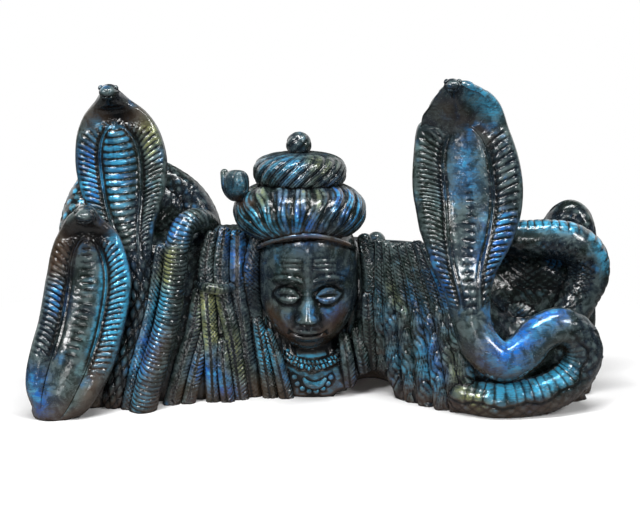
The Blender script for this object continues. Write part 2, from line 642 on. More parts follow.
def line_on(distance, half_width):
    return np.exp(-((distance / half_width) ** 2))


def brows_and_eyes(side, level):
    third = FACE_THIRD
    eye_level = 1.69 * third
    from_eye = (side - 11) / 6.7
    opening = np.clip(1 - from_eye**2, 0, 1)
    upper_lid = eye_level + 2.5 * opening
    lower_lid = eye_level - 2.0 * opening
    beside_eye = blend_in(side, 3.7, 4.9) * (1 - blend_in(side, 17.2, 18.6))
    ball_part = np.sqrt(np.clip(1 - from_eye**2 - ((level - eye_level) / 4.6) ** 2, 0, 1))
    rise = 1.0 * mound(side, level, 12, 2.2 * third, 9, 3.4)
    rise -= 3.6 * mound(side, level, 11, 1.77 * third, 7, 4.6)
    rise += 3.3 * ball_part
    rise += 0.8 * line_on(level - upper_lid, 0.8) * beside_eye
    rise += 0.6 * line_on(level - lower_lid, 0.7) * beside_eye
    rise -= 0.55 * line_on(level - upper_lid - 2.3, 0.65) * beside_eye
    between = (level < upper_lid) & (level > lower_lid) & (side > 4.2) & (side < 17.8)
    rise -= 0.4 * between
    brow = 2.03 * third + 2.9 * (1 - ((side - 11) / 9.8) ** 2)
    on_brow = blend_in(side, 1.8, 3.4) * (1 - blend_in(side, 19, 21.5))
    return rise + 1.3 * line_on(level - brow, 1.2) * on_brow


def nose(side, level):
    third = FACE_THIRD
    down = np.clip((1.98 * third - level) / (0.88 * third), 0, 1)
    bridge = (1.2 + 5.6 * down**1.2) * np.exp(-0.5 * (side / (1.8 + 1.4 * down)) ** 2)
    below, above = blend_in(level, 0.96 * third, 1.08 * third), blend_in(level, 1.98 * third, 2.25 * third)
    rise = bridge * below * (1 - above)
    rise += 1.4 * mound(side, level, 0, 1.13 * third, 2.9, 2.4)
    rise += 2.7 * mound(side, level, 4.3, 1.07 * third, 1.6, 1.9)
    rise -= 1.7 * mound(side, level, 2.3, 0.985 * third, 1.1, 0.8)
    rise -= 0.5 * mound(side, level, 7, 1.07 * third, 1.1, 2.2)
    return rise


def mouth_and_chin(side, level):
    third = FACE_THIRD
    seam = 0.645 * third + 1.3 * (side / 9.2) ** 2
    fade = np.sqrt(np.clip(1 - (side / 9.8) ** 2, 0, 1))
    bow = 0.35 * mound(side, level, 2.4, 0.75 * third, 1.6, 1.1)
    rise = 1.7 * mound(side, level, 0, 0.7 * third, 9.6, 6.6)
    rise += 1.6 * fade * np.exp(-(((level - seam - 1.7) / 1.45) ** 2)) + bow
    rise += 2.2 * fade * np.exp(-(((level - seam + 1.9) / 1.75) ** 2))
    rise -= 1.6 * fade * line_on(level - seam, 0.6)
    rise -= 0.7 * mound(side, level - seam, 10, 0, 1.2, 1.2)
    rise += 0.35 * mound(side, level, 1.7, 0.87 * third, 0.6, 1.9)
    rise -= 0.9 * mound(side, level, 0, 0.41 * third, 5.4, 1.7)
    rise += 2.5 * mound(side, level, 0, 0.2 * third, 6, 3.8)
    fold = side - (6 + (1.02 * third - level) * 0.62)
    along_fold = blend_in(level, 0.55 * third, 0.7 * third) * (1 - blend_in(level, third, 1.1 * third))
    rise -= 0.45 * line_on(fold, 1.1) * along_fold
    return rise + 2.0 * mound(side, level, 14, 1.12 * third, 6.2, 7)


def forehead_marks(side, level):
    third = FACE_THIRD
    rise = 3.8 * mound(side, level, 0, 3.1 * third, 14, 8)
    rise += 1.2 * mound(side, level, 0, 2.5 * third, 1.3, 4.2)
    reach = blend_in(side, 2.8, 4.2) * (1 - blend_in(side, 13, 16))
    for share in (2.40, 2.52, 2.64):
        rise += 0.7 * line_on(level - share * third + 0.5 * (side / 12) ** 2, 0.7) * reach
    return rise


def head():
    segments, rings = ((230, 200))
    even = (2 * np.arange(segments) / segments - 1)[None]
    turn = np.pi * np.sign(even) * np.abs(even) ** 1.45
    fall = (np.pi * np.arange(rings + 1) / rings)[:, None]
    up = np.cos(fall)
    girth = (1 - np.abs(up) ** np.where(up > 0, 3.2, 2.5)) ** 0.45
    level = HEAD_CENTRE[2] + HEAD_HALVES[2] * up - CHIN_HEIGHT + 0 * turn
    low = np.clip(1 - level / (1.4 * FACE_THIRD), 0, 2)
    across = HEAD_HALVES[0] * girth * np.sin(turn) * (1 - 0.22 * low**1.5)
    deep = -HEAD_HALVES[1] * girth * np.cos(turn)
    side = np.abs(across)
    features = (brows_and_eyes, nose, mouth_and_chin, forehead_marks)
    rise = sum(feature(side, level) for feature in features)
    rise = rise * np.clip(np.cos(turn), 0, 1) ** 0.5 * np.clip(girth * 1.5, 0, 1)
    points = np.stack([HEAD_CENTRE[0] + across, HEAD_CENTRE[1] + deep - rise, CHIN_HEIGHT + level], axis=-1)
    around = (np.roll(rise, 3, 0) + np.roll(rise, -3, 0) + np.roll(rise, 4, 1) + np.roll(rise, -4, 1)) / 4
    height = np.clip(1 + (rise - around) * 2.2, 0, 1)
    return closed_skin("head", points[1:-1], points[0, 0], points[-1, 0], height[1:-1], 0.0)


def hairline_cord():
    """A thin cord round the brow, under the knot of hair."""
    rows = []
    for degrees in range(-85, 86, 17):
        turn = math.radians(degrees)
        middle = math.cos(turn)
        rows.append((-7.5 + 26.5 * math.sin(turn), -4 - 27 * middle, 81.5 + 12 * middle**1.5, 1.3, 1.3))
    return sweep("hairline_cord", rows, oval(14))


def ear_drops():
    """Three thin rods beside the right temple."""
    forms = []
    for which, x in enumerate((21.5, 24, 26.5)):
        rows = [(x, -11, 81, 0.9, 0.9), (x + 0.6, -13, 57, 0.9, 0.9)]
        forms.append(sweep(f"ear_drop_{which}", rows, oval(12)))
    return forms


def hair_knot():
    def swell(turn, fall):
        combed = turn + 0.05 * np.sin(3.1 * fall + 2 * turn)
        flute = np.abs(np.cos(HAIR_FLUTES * combed / 2)) ** 0.8
        strand = ridges(HAIR_FLUTES * 3 * combed / (2 * np.pi) + 0.4 * np.sin(5 * fall + 7 * turn), 0.55)
        grown = ((flute - 1) * 1.5 + 0.5 * (strand - 1)) / 34 * np.sin(fall)
        return grown, np.clip(1 - np.sin(fall) * (0.6 * (1 - flute) + 0.75 * (1 - strand)), 0, 1)

    radii = (36.4, 32.5, 17.8)
    return ball("hair_knot", (-11, -1, 101.4), radii, HAIR_FLUTES * 16, 90, -0.62, swell, 0.6, 2.3)


def crest_knot():
    def swell(turn, fall):
        wound = turn + (0.75 + 0.35 * np.sin(turn)) * fall
        flute = np.abs(np.cos(CREST_FLUTES * wound / 2)) ** 0.8
        strand = ridges(CREST_FLUTES * 4 * wound / (2 * np.pi), 0.55)
        grown = ((flute - 1) * 1.0 + 0.4 * (strand - 1)) / 24 * np.sin(fall)
        return grown, np.clip(1 - np.sin(fall) * (0.5 * (1 - flute) + 0.7 * (1 - strand)), 0, 1)

    return ball("crest_knot", (-11, 3, 122.2), (25.5, 24, 10.9), CREST_FLUTES * 22, 70, 0.0, swell, 0.6, 2.8)


def crest_ball():
    def swell(turn, fall):
        wound = ridges(3 * turn / np.pi + 1.1 * fall, 0.7)
        return (wound - 1) * 0.08 * np.sin(fall), 1 - 0.8 * (1 - wound) * np.sin(fall)

    return ball("crest_ball", (-11.5, 4, 136.9), (7, 6.8, 7), 60, 30, 0.0, swell, 0.6)


def on_chest(across, height):
    a = (across - CHEST_CENTRE[0]) / CHEST_RADII[0]
    c = (height - CHEST_CENTRE[2]) / CHEST_RADII[2]
    out = CHEST_RADII[1] * math.sqrt(max(0.02, 1 - a * a - c * c))
    return (across, CHEST_CENTRE[1] - out, height)


def chest_arc(half_span, top, drop, count, reach=0.97):
    """Places on a hanging arc from one side of the neck to the other."""
    swings = np.linspace(-1, 1, count)
    return [on_chest(-4 + half_span * s, top - drop * math.sqrt(1 - (reach * s) ** 2)) for s in swings]


def necklace_cord(name, half_span, top, drop):
    rows = [(*place, 1.3, 1.3) for place in chest_arc(half_span, top, drop, 9, 0.99)]

    def carve(spot):
        twist = ridges(spot.along / 2.2 + spot.turn / (2 * np.pi), 0.7)
        return 0.25 * (twist - 0.6), twist

    return sweep(name, rows, oval(12), carve)


def pendant():
    rows = []
    for degrees in range(200, 341, 20):
        angle = math.radians(degrees)
        girth = 1 + 1.3 * math.sin(math.radians((degrees - 200) / 140 * 180))
        rows.append((*on_chest(-3 + 6.2 * math.cos(angle), 12.5 + 5.5 * math.sin(angle)), girth, girth))
    return sweep("pendant", rows, oval(14))


def lock_rows(rows):
    return [(x, y, z, width, LOCK_HALF_DEPTH) for x, y, z, width in rows]


def back_locks():
    forms = []
    for which in range(BACK_LOCKS):
        share = which / (BACK_LOCKS - 1)
        across = -76 + 168 * share
        lean = -9 + 18 * share
        bulge = 45 - 7 * abs(share - 0.45)
        rows = [
            (-30 + 50 * share, 24, 86 - 14 * share, 7.5, 4.6),
            (across - lean, bulge - 7, 70 - 6 * share, 10, 4.6),
            (across, bulge + 1, 44, 11, 4.6),
            (across + lean * 0.4, bulge - 2, 14, 11.5, 4.6),
            (across + lean * 0.5, bulge - 8, -4, 11, 4.6),
        ]
        forms.append(sweep(f"back_lock_{which}", rows, oval(40), cut_back_lock, 1.4, hair=0.7))
    return forms


def cobra_head(name, place, size):
    x, y, z = place

    def swell(turn, fall):
        mouth = line_on(fall - 1.75, 0.09) * np.clip(np.cos(turn), 0, 1)
        brow = 0.1 * mound(np.abs(turn - 2 * np.pi * (turn > np.pi)), fall, 0.75, 1.0, 0.35, 0.3)
        return brow - 0.12 * mouth, 1 - 0.8 * mouth

    forms = [ball(name, place, (5.6 * size, 8.6 * size, 4.7 * size), 48, 32, 0.3, swell)]
    for side in (-1, 1):
        eye = (x + side * 4.2 * size, y - 2.5 * size, z + 2.6 * size)
        forms.append(ball(f"{name}_eye_{side}", eye, (1.5, 1.5, 1.5), 16, 10))
    return forms


def humps():
    def swell(turn, fall):
        scales = scale_pattern(turn * 9, fall * 9, 1.9)
        return 0.04 * (scales - 0.6) * np.sin(fall), 1 - 0.9 * (1 - scales) * np.sin(fall)

    places = [((-93, 21, 94), (24, 13, 20)), ((113, 6, 62), (31, 14, 17.5)), ((106, 1, 43), (21, 15, 14))]
    return [ball(f"hump_{n}", place, radii, 110, 60, 0.0, swell) for n, (place, radii) in enumerate(places)]


def front_locks():
    """Every lock in front, and the band that ties some of them."""
    kinds = [
        ("left_lock", LEFT_LOCKS, 26, cut_lock(HATCH_PITCH, 0.9)),
        ("outer_lock", OUTER_LOCKS, 22, cut_lock(2.6, 1.1, 0.5, False)),
        ("right_lock", RIGHT_LOCKS, 42, cut_right_lock),
        ("temple_lock", TEMPLE_LOCKS, 30, cut_lock(2.3, 0.9, 0.4, False)),
    ]
    forms = []
    for name, locks, sides, cut in kinds:
        for which, rows in enumerate(locks):
            smooth = name == "left_lock" and which == SMOOTH_LOCK
            carve = cut_lock(HATCH_PITCH, 0.9, 0.2) if smooth else cut
            forms.append(sweep(f"{name}_{which}", lock_rows(rows), oval(sides), carve, hair=1.0))
    forms.append(sweep("lock_band", lock_rows(LOCK_BAND), oval(24), cut_lock(1.8, 0.0, 0.35, False)))
    return forms


def carved_forms():
    return [
        sweep("mass", CORE, oval(150, 0.75), cut_mass, COARSE_STEP, hair=0.7),
        sweep("left_apron", LEFT_APRON, oval(150), cut_mass, COARSE_STEP, hair=0.7),
        sweep("right_apron", RIGHT_APRON, oval(150), cut_mass, COARSE_STEP, hair=0.7),
        sweep("left_rear_body", LEFT_REAR_BODY, oval(44), cut_scales(6.0, 0.6), COARSE_STEP),
        sweep("left_rear_arch", LEFT_REAR_ARCH, oval(60), cut_scales(5.2, 0.4)),
        sweep("right_rear_arch", RIGHT_REAR_ARCH, oval(48), cut_scales(5.2, 0.4)),
        sweep("right_coil", RIGHT_COIL, oval(56), cut_coil),
        sweep(
            "left_rear_cobra",
            LEFT_REAR_COBRA,
            hood(REAR_ARCH),
            cut_hood(REAR_ARCH, 18, 100, (2.5, 2.8), 4.1, hollow=2.5, knobs=1.0),
        ),
        sweep(
            "left_front_cobra",
            LEFT_FRONT_COBRA,
            hood(FRONT_ARCH),
            cut_hood(FRONT_ARCH, 13, 90, (2.6, 3.2), 3.9, 0.45, hollow=2.0),
        ),
        sweep("left_loop", LEFT_LOOP, oval(44), cut_rings(2.35, 0.65, 2.6), facing=LEFTWARD),
        sweep("right_cobra", RIGHT_COBRA, hood(RIGHT_ARCH), cut_right_cobra),
        sweep("right_throat", RIGHT_THROAT, swell_section(60)),
        *cobra_head("right_cobra_head", (66.8, -34.5, 171.2), 0.75),
        *cobra_head("left_rear_cobra_head", (-111, -9, 166), 0.92),
        *cobra_head("left_front_cobra_head", (-121, -35, 104.5), 0.95),
        *humps(),
        *back_locks(),
        ball("neck_knot_right", (31, 4, 84), (5, 5, 4.8), 24, 16, hair=0.5),
        ball("neck_knot_left", (-54, -1, 89), (5, 5, 4.4), 24, 16, hair=0.5),
        sweep("neck", NECK, oval(48), None, COARSE_STEP),
        ball("chest", CHEST_CENTRE, CHEST_RADII, 96, 60),
        necklace_cord("neck_cord", 19, 33, 13.5),
        necklace_cord("breast_cord", 23, 36, 19),
        pendant(),
        head(),
        hair_knot(),
        crest_knot(),
        crest_ball(),
        sweep("crescent", CRESCENT, oval(28), None, facing=LEFTWARD),
        sweep("crescent_stem", CRESCENT_STEM, oval(20)),
        ball("crescent_middle", (-44.6, -9.5, 117.4), (6.8, 5.4, 7.4), 40, 28, 0.0, None, 0.0, 2.8),
        hairline_cord(),
        *ear_drops(),
        *front_locks(),
    ]


# Strings of beads and rows of studs


def bead_string_tree(material):
    """Beads a spacing apart along a line, each a flattened ball of uneven size."""
    tree = bpy.data.node_groups.new("bead_string", "GeometryNodeTree")
    tree.interface.new_socket(name="Line", in_out="INPUT", socket_type="NodeSocketGeometry")
    for name in ("Spacing", "Radius", "Flatness", "Unevenness"):
        tree.interface.new_socket(name=name, in_out="INPUT", socket_type="NodeSocketFloat")
    tree.interface.new_socket(name="Beads", in_out="OUTPUT", socket_type="NodeSocketGeometry")
    bench = Bench(tree)
    line = bench.add("NodeGroupInput", output="Line")
    spacing, radius = bench.other(line, "Spacing"), bench.other(line, "Radius")
    curve = bench.add("GeometryNodeMeshToCurve", None, {"Mesh": line})
    spaced = bench.add("GeometryNodeResampleCurve", {"mode": "LENGTH"}, {"Curve": curve, "Length": spacing})
    bead = bench.add("GeometryNodeMeshUVSphere", None, {"Segments": 10, "Rings": 7, "Radius": radius})
    least = 1 - bench.other(line, "Unevenness")
    size = bench.add("FunctionNodeRandomValue", {"data_type": "FLOAT"}, {2: least, 3: 1.0, "Seed": 7}, 1)
    shape = bench.add("ShaderNodeCombineXYZ", None, {"X": 1.0, "Y": bench.other(line, "Flatness"), "Z": 1.0})
    sized = bench.add("ShaderNodeVectorMath", {"operation": "SCALE"}, {"Vector": shape, "Scale": size})
    values = {"Points": spaced, "Instance": bead, "Scale": sized}
    placed = bench.add("GeometryNodeInstanceOnPoints", None, values)
    real = bench.add("GeometryNodeRealizeInstances", None, {"Geometry": placed})
    finished = bench.add("GeometryNodeSetMaterial", None, {"Geometry": real, "Material": material})
    bench.add("NodeGroupOutput", None, {"Beads": finished})
    return tree


def bead_string(tree, name, places, spacing, radius, flatness=1.0, unevenness=0.08):
    mesh = bpy.data.meshes.new(name)
    mesh.from_pydata([tuple(place) for place in places], [(n, n + 1) for n in range(len(places) - 1)], [])
    thing = shown(name, mesh)
    modifier = thing.modifiers.new("beads", "NODES")
    modifier.node_group = tree
    wanted = {"Spacing": spacing, "Radius": radius, "Flatness": flatness, "Unevenness": unevenness}
    for socket in tree.interface.items_tree:
        if socket.name in wanted:
            modifier[socket.identifier] = wanted[socket.name]
    ready = modified_mesh(thing)
    bpy.data.objects.remove(thing)
    return ready


def line_on_body(rows, turn, start, end, sunk=0.4):
    """A line along the skin of a snake at a turn round it, from one share of its way to another."""
    shares = np.linspace(start, end, 160)
    centre, _, across, forward, girth = swept_frame(rows, FRONT, shares)
    sideways, outward = (girth[:, :1] - sunk) * math.cos(turn), (girth[:, 1:] - sunk) * math.sin(turn)
    return centre + across * sideways + forward * outward


def beads_and_studs(tree):
    strings = [
        bead_string(tree, "necklace", chest_arc(15, 31, 14.5, 40), 4.0, BEAD_RADIUS),
        bead_string(tree, "pendant_row", chest_arc(10, 14, 10.5, 30), 3.9, BEAD_RADIUS),
    ]
    for row, degrees in enumerate((158, 186)):
        line = line_on_body(RIGHT_COBRA, math.radians(degrees), 0.72 + 0.0045 * row, 0.9)
        strings.append(bead_string(tree, f"body_studs_{row}", line, 4.0, 1.2, unevenness=0.5))
    line = line_on_body(RIGHT_COIL, math.radians(64), 0.45, 0.9)
    strings.append(bead_string(tree, "coil_studs", line, 4.6, 1.1, unevenness=0.5))
    return strings


# Joining the forms into one stone


def shown(name, data):
    """An object of the scene that holds the data."""
    thing = bpy.data.objects.new(name, data)
    bpy.context.scene.collection.objects.link(thing)
    return thing


def modified_mesh(thing):
    """A plain mesh of the thing with its modifiers made real."""
    return bpy.data.meshes.new_from_object(thing.evaluated_get(bpy.context.evaluated_depsgraph_get()))


def through(thing, kind, **settings):
    """Passes the thing's mesh through one modifier."""
    modifier = thing.modifiers.new(kind.lower(), kind)
    for key, value in settings.items():
        setattr(modifier, key, value)
    result = modified_mesh(thing)
    thing.modifiers.clear()
    thing.data = result


def combined(thing, operation, meshes):
    """Adds all the meshes to the thing's mesh or takes them from it."""
    others = bpy.data.collections.new(operation.lower())
    bpy.context.scene.collection.children.link(others)
    for mesh in meshes:
        others.objects.link(bpy.data.objects.new(mesh.name, mesh))
    join = {"operation": operation, "solver": "MANIFOLD", "operand_type": "COLLECTION", "collection": others}
    through(thing, "BOOLEAN", **join)
    for other in list(others.objects):
        bpy.data.objects.remove(other)
    bpy.data.collections.remove(others)


def array_of(items, field, width=1, kind=np.float32):
    """One field of a mesh's items as an array."""
    values = np.empty(len(items) * width, kind)
    items.foreach_get(field, values)
    return values.reshape(-1, width) if width > 1 else values


def mark(mesh, **facts):
    """Leaves numbers on the mesh's points, each fact under its own name."""
    for name, values in facts.items():
        attribute = mesh.attributes.get(name) or mesh.attributes.new(name, "FLOAT", "POINT")
        attribute.data.foreach_set("value", np.broadcast_to(values, len(mesh.vertices)).astype(np.float32))
    return mesh


def mesh_of(form):
    mesh = bpy.data.meshes.new(form.name)
    mesh.from_pydata(form.points.tolist(), [], form.faces)
    return mark(mesh, height=form.height, hair=form.hair)


def largest_skin(mesh):
    """Which points are on the outer skin: pockets sealed between the forms are skins of their own."""
    edges = array_of(mesh.edges, "vertices", 2, np.int64)
    label = np.arange(len(mesh.vertices))
    while True:
        least = np.minimum(label[edges[:, 0]], label[edges[:, 1]])
        new = label.copy()
        np.minimum.at(new, edges[:, 0], least)
        np.minimum.at(new, edges[:, 1], least)
        new = new[new]
        if np.array_equal(new, label):
            break
        label = new
    names, counts = np.unique(label, return_counts=True)
    return label == names[counts.argmax()]


def keep_part(mesh, kept):
    """A copy of a triangle mesh with only the kept vertices."""
    triangles = array_of(mesh.loops, "vertex_index", 1, np.int64).reshape(-1, 3)
    triangles = triangles[kept[triangles].all(axis=1)]
    number = np.cumsum(kept) - 1
    new = bpy.data.meshes.new(mesh.name)
    new.from_pydata(array_of(mesh.vertices, "co", 3)[kept].tolist(), [], number[triangles].tolist())
    for name in ("height", "hair"):
        mark(new, **{name: array_of(mesh.attributes[name].data, "value")[kept]})
    return new


def carve_stone(material):
    forms = [mesh_of(form) for form in carved_forms()]
    strings = [mark(mesh, height=1.0, hair=0.0) for mesh in beads_and_studs(bead_string_tree(material))]
    stone = shown("carved_stone", forms[0])
    combined(stone, "UNION", forms[1:] + strings)
    ground = bpy.data.meshes.new("ground")
    ends = (-GROUND_REACH, GROUND_REACH)
    corners = [(x, y, z) for x in ends for y in ends for z in (-GROUND_REACH, 0)]
    walls = [(0, 1, 3, 2), (4, 6, 7, 5), (0, 4, 5, 1), (2, 3, 7, 6), (0, 2, 6, 4), (1, 5, 7, 3)]
    ground.from_pydata(corners, [], walls)
    notches = [mesh_of(ball(f"notch_{n}", *row, 60, 40)) for n, row in enumerate(FOOT_NOTCHES)]
    combined(stone, "DIFFERENCE", [ground, *notches])
    through(stone, "TRIANGULATE")
    stone.data = keep_part(stone.data, largest_skin(stone.data))
    count = len(stone.data.polygons)
    if count > MOST_TRIANGLES:
        through(stone, "DECIMATE", ratio=MOST_TRIANGLES / count)
    return stone


# Where the stone flashes, is brown or lies dark, as strokes over it: x and z of both ends, half width,
# strength and how far forward.
AZURE = [
    (-136, 64, -136, 57, 4, 0.8, -35), (-148, 20, -146, 5, 6, 0.6, -48),
    (-105, 92, -102, 76, 5, 0.5, -34), (-123, 132, -121, 113, 6, 0.8, -3),
    (-78, 101, -82, 88, 4, 0.8, -16), (-88, 41, -95, 24, 4.5, 1.0, -36), (-62, 18, -49, 7, 6, 0.7, -25),
    (-48, 89, -41, 69, 6, 0.5, -6), (94, 99, 88, 80, 7, 0.7, -32), (58, 79, 65, 66, 6, 0.6, -36),
    (95, 40, 108, 52, 8, 1.0, -50), (113, 55, 122, 57, 6, 0.8, -48), (55, 40, 63, 21, 5, 0.45, -38),
    (-112, 140, -110, 122, 8, 0.6, -4), (10, 114, 20, 102, 7, 0.7, -20), (87, 32, 103, 29, 8, 0.3, -52),
    (-14, 112, -9, 97, 8, 0.7, -31), (75, 139, 76, 118, 6, 0.25, -24), (2, 58, 8, 50, 6, 0.3, -25),
    (46, 62, 58, 44, 4, 0.25, -28),
]
CYAN = [
    (-112.5, 84, -114, 56, 1.9, 1.2, -37), (-114, 56, -119, 33, 1.9, 1.2, -43),
    (-106, 89, -104, 59, 6, 1.0, -36), (-105, 55, -112, 32, 6, 0.9, -42),
    (-113, 146, -110, 130, 7, 1.0, -4), (-116, 121, -111, 110, 7, 0.7, -5),
    (-130, 115, -135, 102, 6, 0.8, -8), (-84, 64, -88, 43, 4, 0.9, -30),
    (-31, 36, -29, 19, 4, 0.8, -18), (-16, 24, 5, 20, 4, 1.0, -20), (-11, 18, -1, 17, 5, 0.8, -20),
    (-41, 110, -28, 95, 8, 0.9, -22), (89, 15, 125, 24, 7, 1.0, -49), (108, 97, 138, 96, 3.5, 0.9, -8),
    (148, 89, 156, 72, 3.5, 0.6, -6), (-95, 18, -97, 7, 6, 0.5, -40), (77, 132, 77, 122, 8, 0.15, -24),
    (80, 168, 90, 159, 6, 0.5, -20), (40, 24, 48, 13, 5, 0.3, -24), (84, 20, 90, 8, 5, 0.5, -46),
    (-9, 8, 5, 6, 6, 0.6, -18), (28, 62, 36, 40, 5, 0.15, -22), (52, 30, 60, 12, 5, 0.3, -34),
    (-28, 126, -14, 129, 7, 0.35, -15), (20, 108, 24, 98, 6, 0.6, -12),
]
GOLD = [
    (-92, 146, -90, 134, 4.5, 0.6, -3), (-80, 84, -83, 66, 3.4, 0.9, -22),
    (-59, 56, -59, 34, 6, 0.7, -20), (-34, 115, -31, 112, 4, 0.8, -18), (-15, 115, 0, 112, 6, 0.5, -28),
    (79, 10, 84, 7, 5, 0.7, -44), (-4, 129, 6, 124, 6, 0.3, -18), (-47, 34, -44, 12, 5, 0.4, -20),
    (38, 62, 44, 50, 3, 0.3, -24), (66, 30, 74, 14, 4, 0.3, -40),
]
BROWN = [
    (66, 158, 73, 152, 6, 0.45, -24), (80, 151, 87, 144, 5, 0.45, -18),
    (-122, 153, -98, 153, 8, 0.8, -4), (-136, 92, -112, 96, 7, 0.8, -30),
    (-134, 89, -139, 78, 7, 0.9, -32), (-31, 87, -8, 93.5, 2.6, 1.0, -28),
    (-8, 93.5, 15, 87, 2.6, 1.0, -28), (-27, 48, -17, 37, 5.5, 1.0, -26), (2, 38, 12, 49, 5, 1.0, -28),
    (-14, 33, 0, 33, 4, 0.9, -24), (-44, 109, -37, 108, 3.2, 0.9, -11), (-84, 40, -94, 8, 5, 0.6, -36),
    (-112, 34, -122, 6, 5, 0.8, -44), (82, 34, 92, 24, 6, 0.5, -52),
]
DARK = [
    (-112, 159, -108, 153, 6.5, 1.0, -2), (-128, 94, -115, 94, 7, 1.0, -30),
    (-128, 70, -133, 28, 9, 0.5, -38), (-72, 84, -79, 40, 4, 0.6, -20),
    (-98, 60, -108, 15, 7, 0.45, -24), (-46, 117, -45, 116, 7, 0.35, -12),
    (72, 150, 75, 148, 3, 0.5, -22), (104, 72, 124, 60, 12, 0.7, -6), (141, 74, 132, 42, 9, 0.45, -14),
    (-16, 31, 4, 31, 5, 0.7, -16), (-36, 95, -36, 52, 3.5, 0.6, -14),
    (21.5, 92, 21.5, 50, 3.5, 0.5, -14), (-95, 112, -88, 98, 7, 0.6, 8),
    (118, 30, 124, 34, 5, 0.6, -36),
]

# Where two forms melt into each other without a groove between them.
MELTED = [(64, 170, 82, 150, 15, 1.5, -22), (-46, 119, -45, 115, 8, 1.5, -12)]


def stroke_weight(place, strokes):
    """How strongly the strokes cover each place."""
    x, y, z = place.T
    weight = np.zeros(len(x))
    for x0, z0, x1, z1, half_width, strength, depth in strokes:
        length = max((x1 - x0) ** 2 + (z1 - z0) ** 2, 1e-6)
        share = np.clip(((x - x0) * (x1 - x0) + (z - z0) * (z1 - z0)) / length, 0, 1)
        away = (x - x0 - share * (x1 - x0)) ** 2 + (z - z0 - share * (z1 - z0)) ** 2
        near = 1 - blend_in(np.abs(y - depth), 8, 15)
        weight = np.maximum(weight, strength * np.exp(-away / half_width**2) * near)
    return weight


def paint_places(mesh):
    """Leaves on the mesh where it flashes azure, cyan or gold, is brown or lies dark, how hollow it is,
    and where grooves melt away."""
    place = array_of(mesh.vertices, "co", 3).astype(float)
    normal = array_of(mesh.vertex_normals, "vector", 3)
    edges = array_of(mesh.edges, "vertices", 2, np.int64)
    away = np.linalg.norm(place[edges[:, 0]] - place[edges[:, 1]], axis=1) + 1e-6
    pull = np.zeros(len(place))
    count = np.zeros(len(place))
    for one, other in ((0, 1), (1, 0)):
        lean = np.einsum("ij,ij->i", place[edges[:, other]] - place[edges[:, one]], normal[edges[:, one]])
        np.add.at(pull, edges[:, one], lean / away)
        np.add.at(count, edges[:, one], 1)
    hollow = pull / np.maximum(count, 1)
    for _ in range(2):
        total = hollow.copy()
        np.add.at(total, edges[:, 0], hollow[edges[:, 1]])
        np.add.at(total, edges[:, 1], hollow[edges[:, 0]])
        hollow = total / (1 + count)
    front = blend_in(-normal[:, 1], -0.2, 0.4)
    z = place[:, 2]
    under = blend_in(-normal[:, 2], 0.15, 0.6) * (1 - blend_in(z, 22, 50))
    foot = (1 - blend_in(z, 4, 19)) * blend_in(-normal[:, 2], -0.5, 0.2)
    brown = np.maximum(stroke_weight(place, BROWN), 0.8 * np.maximum(under, foot))
    flashes = [stroke_weight(place, strokes) * front for strokes in (AZURE, CYAN, GOLD)]
    colour = mesh.attributes.new("gleam", "FLOAT_COLOR", "POINT")
    colour.data.foreach_set("color", np.stack([*flashes, brown], axis=-1).astype(np.float32).ravel())
    height = array_of(mesh.attributes["height"].data, "value")
    height = np.maximum(height, np.minimum(stroke_weight(place, MELTED), 1))
    hollow = np.clip(0.5 + 1.6 * hollow, 0, 1)
    mark(mesh, hollow=hollow, shadow=stroke_weight(place, DARK), height=height)


class Wire:
    """A node's socket to reckon with: an expression on wires adds its Math nodes."""

    def __init__(self, bench, socket):
        self.bench = bench
        self.socket = socket

    def reckon(self, operation, *values, clamp=False):
        settings = {"operation": operation, "use_clamp": clamp}
        return self.bench.add("ShaderNodeMath", settings, dict(enumerate(values)))

    def __add__(self, other):
        return self.reckon("ADD", self, other)

    def __radd__(self, other):
        return self.reckon("ADD", other, self)

    def __sub__(self, other):
        return self.reckon("SUBTRACT", self, other)

    def __rsub__(self, other):
        return self.reckon("SUBTRACT", other, self)

    def __mul__(self, other):
        return self.reckon("MULTIPLY", self, other)

    def __rmul__(self, other):
        return self.reckon("MULTIPLY", other, self)

    def kept_in(self):
        """Kept between 0 and 1."""
        return self.reckon("ADD", self, 0.0, clamp=True)

    def between(self, low, high):
        """0 below low, 1 above high, and smooth between them."""
        values = {"Value": self, "From Min": low, "From Max": high}
        return self.bench.add("ShaderNodeMapRange", {"interpolation_type": "SMOOTHSTEP"}, values)


class Bench:
    """Adds nodes to one tree, which it empties first."""

    def __init__(self, tree):
        tree.nodes.clear()
        self.tree = tree

    def add(self, kind, settings=None, values=None, output=0):
        node = self.tree.nodes.new(kind)
        for key, value in (settings or {}).items():
            setattr(node, key, value)
        for key, value in (values or {}).items():
            socket = node.inputs[key]
            if isinstance(value, Wire):
                self.tree.links.new(value.socket, socket)
            else:
                socket.default_value = value
        return Wire(self, node.outputs[output]) if node.outputs else None

    def other(self, wire, output):
        """Another output of the node that a wire comes from."""
        return Wire(self, wire.socket.node.outputs[output])

    def blend(self, first, second, share):
        """Two colours mixed by a share."""
        values = {"Factor": share, 6: first, 7: second}
        return self.add("ShaderNodeMix", {"data_type": "RGBA"}, values, output=2)

    def noise(self, places, scale, detail=2.0, roughness=0.5, distortion=0.0):
        values = {
            "Vector": places,
            "Scale": scale,
            "Detail": detail,
            "Roughness": roughness,
            "Distortion": distortion,
        }
        return self.add("ShaderNodeTexNoise", None, values)

    def left_on_mesh(self, name, output="Fac"):
        """What an attribute of the mesh holds."""
        return self.add("ShaderNodeAttribute", {"attribute_name": name}, output=output)


def shade(red, green, blue):
    return (red, green, blue, 1.0)


def nodes_of(owner):
    """A bench on the nodes of a material or a world."""
    owner.use_nodes = True
    return Bench(owner.node_tree)


